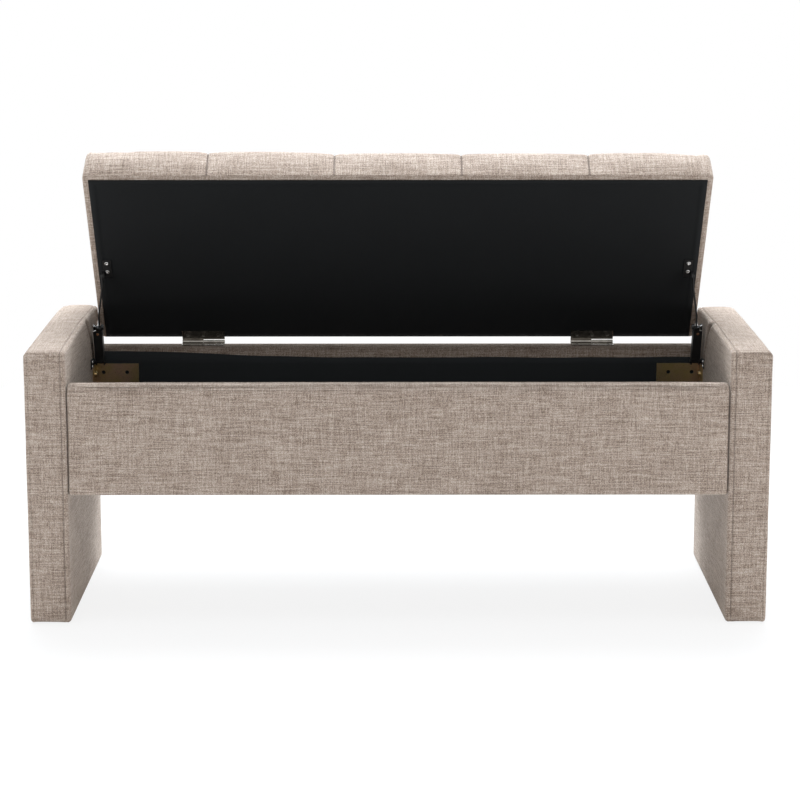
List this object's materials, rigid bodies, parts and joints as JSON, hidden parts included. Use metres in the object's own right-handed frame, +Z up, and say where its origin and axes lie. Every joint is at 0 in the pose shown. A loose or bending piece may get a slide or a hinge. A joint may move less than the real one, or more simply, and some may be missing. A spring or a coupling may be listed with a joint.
{
  "type": "storage ottoman",
  "caption": "Upholstered storage bench with padded slab ends, a lined box between them and a padded, stitched lid that swings up on hinges and is held open by folding stays.",
  "frame": {"origin": "on the floor, in the middle of the length and of the depth that the bench covers with its lid open", "axes": "+X runs along the bench to its right end, +Y from the front panel to the back, +Z up from the floor"},
  "size_m": [1.22, 0.4246, 0.7535],
  "materials": {
    "linen_cloth": "woven, matt, heathered",
    "foam": "matt foam",
    "timber": "unfinished board",
    "black_cloth": "matt cloth",
    "nickel": "nickel-plated, satin",
    "yellow_zinc": "yellow zinc-plated",
    "black_steel": "semi-gloss black",
    "bright_steel": "bright, polished",
    "nylon": "matt"
  },
  "bodies": {
    "base": {"left_end_core": "timber", "right_end_core": "timber", "left_end_padding": "foam", "right_end_padding": "foam", "left_end_cover": "linen_cloth", "right_end_cover": "linen_cloth", "floor_glides": "nylon", "front_board": "timber", "front_padding": "foam", "front_cover": "linen_cloth", "front_lining": "black_cloth", "back_board": "timber", "back_cover": "linen_cloth", "back_lining": "black_cloth", "floor_board": "timber", "floor_lining": "black_cloth", "floor_battens": "timber", "dust_cloths": "black_cloth", "back_left_bracket": "yellow_zinc", "back_right_bracket": "yellow_zinc", "front_left_bracket": "yellow_zinc", "front_right_bracket": "yellow_zinc", "bracket_bolts": "yellow_zinc", "bracket_screws": "yellow_zinc", "left_hinge_rail_leaf": "nickel", "right_hinge_rail_leaf": "nickel", "left_hinge_pin": "nickel", "right_hinge_pin": "nickel", "hinge_rail_screws": "nickel", "left_stay_foot": "black_steel", "right_stay_foot": "black_steel", "left_foot_pin": "black_steel", "right_foot_pin": "black_steel", "stay_foot_screws": "bright_steel"},
    "lid": {"lid_board": "timber", "lid_foam": "foam", "lid_cover": "linen_cloth", "lid_lining": "black_cloth", "left_hinge_lid_leaf": "nickel", "right_hinge_lid_leaf": "nickel", "hinge_lid_screws": "nickel", "left_stay_lid_bracket": "black_steel", "right_stay_lid_bracket": "black_steel", "left_lid_pin": "black_steel", "right_lid_pin": "black_steel", "stay_lid_screws": "bright_steel"},
    "left_lower_arm": {"left_stay_channel": "black_steel", "left_elbow_rivet": "black_steel", "left_stay_spring": "bright_steel"},
    "left_upper_arm": {"left_stay_arm": "black_steel"},
    "right_lower_arm": {"right_stay_channel": "black_steel", "right_elbow_rivet": "black_steel", "right_stay_spring": "bright_steel"},
    "right_upper_arm": {"right_stay_arm": "black_steel"}
  },
  "joints": [
    {"name": "lid_hinge", "type": "hinge", "parent": "base", "child": "lid", "pos_m": [0, 0.16623, 0.4028], "axis": [1, 0, 0], "range_deg": [0, 58.5]},
    {"name": "left_lower_arm_turn", "type": "hinge", "parent": "base", "child": "left_lower_arm", "pos_m": [-0.5292, 0.10873, 0.378], "axis": [1, 0, 0], "range_deg": [0, 120.6]},
    {"name": "left_upper_arm_turn", "type": "hinge", "parent": "lid", "child": "left_upper_arm", "pos_m": [-0.5186, 0.07837, 0.53661], "axis": [1, 0, 0], "range_deg": [-25.2, 0]},
    {"name": "right_lower_arm_turn", "type": "hinge", "parent": "base", "child": "right_lower_arm", "pos_m": [0.5292, 0.10873, 0.378], "axis": [1, 0, 0], "range_deg": [0, 120.6]},
    {"name": "right_upper_arm_turn", "type": "hinge", "parent": "lid", "child": "right_upper_arm", "pos_m": [0.5186, 0.07837, 0.53661], "axis": [1, 0, 0], "range_deg": [-25.2, 0]}
  ],
  "couplings": [
    {"joint": "left_lower_arm_turn", "follows": "lid_hinge", "ratio": 2.0608},
    {"joint": "left_upper_arm_turn", "follows": "lid_hinge", "ratio": -0.4305},
    {"joint": "right_lower_arm_turn", "follows": "lid_hinge", "ratio": 2.0608},
    {"joint": "right_upper_arm_turn", "follows": "lid_hinge", "ratio": -0.4305}
  ]
}
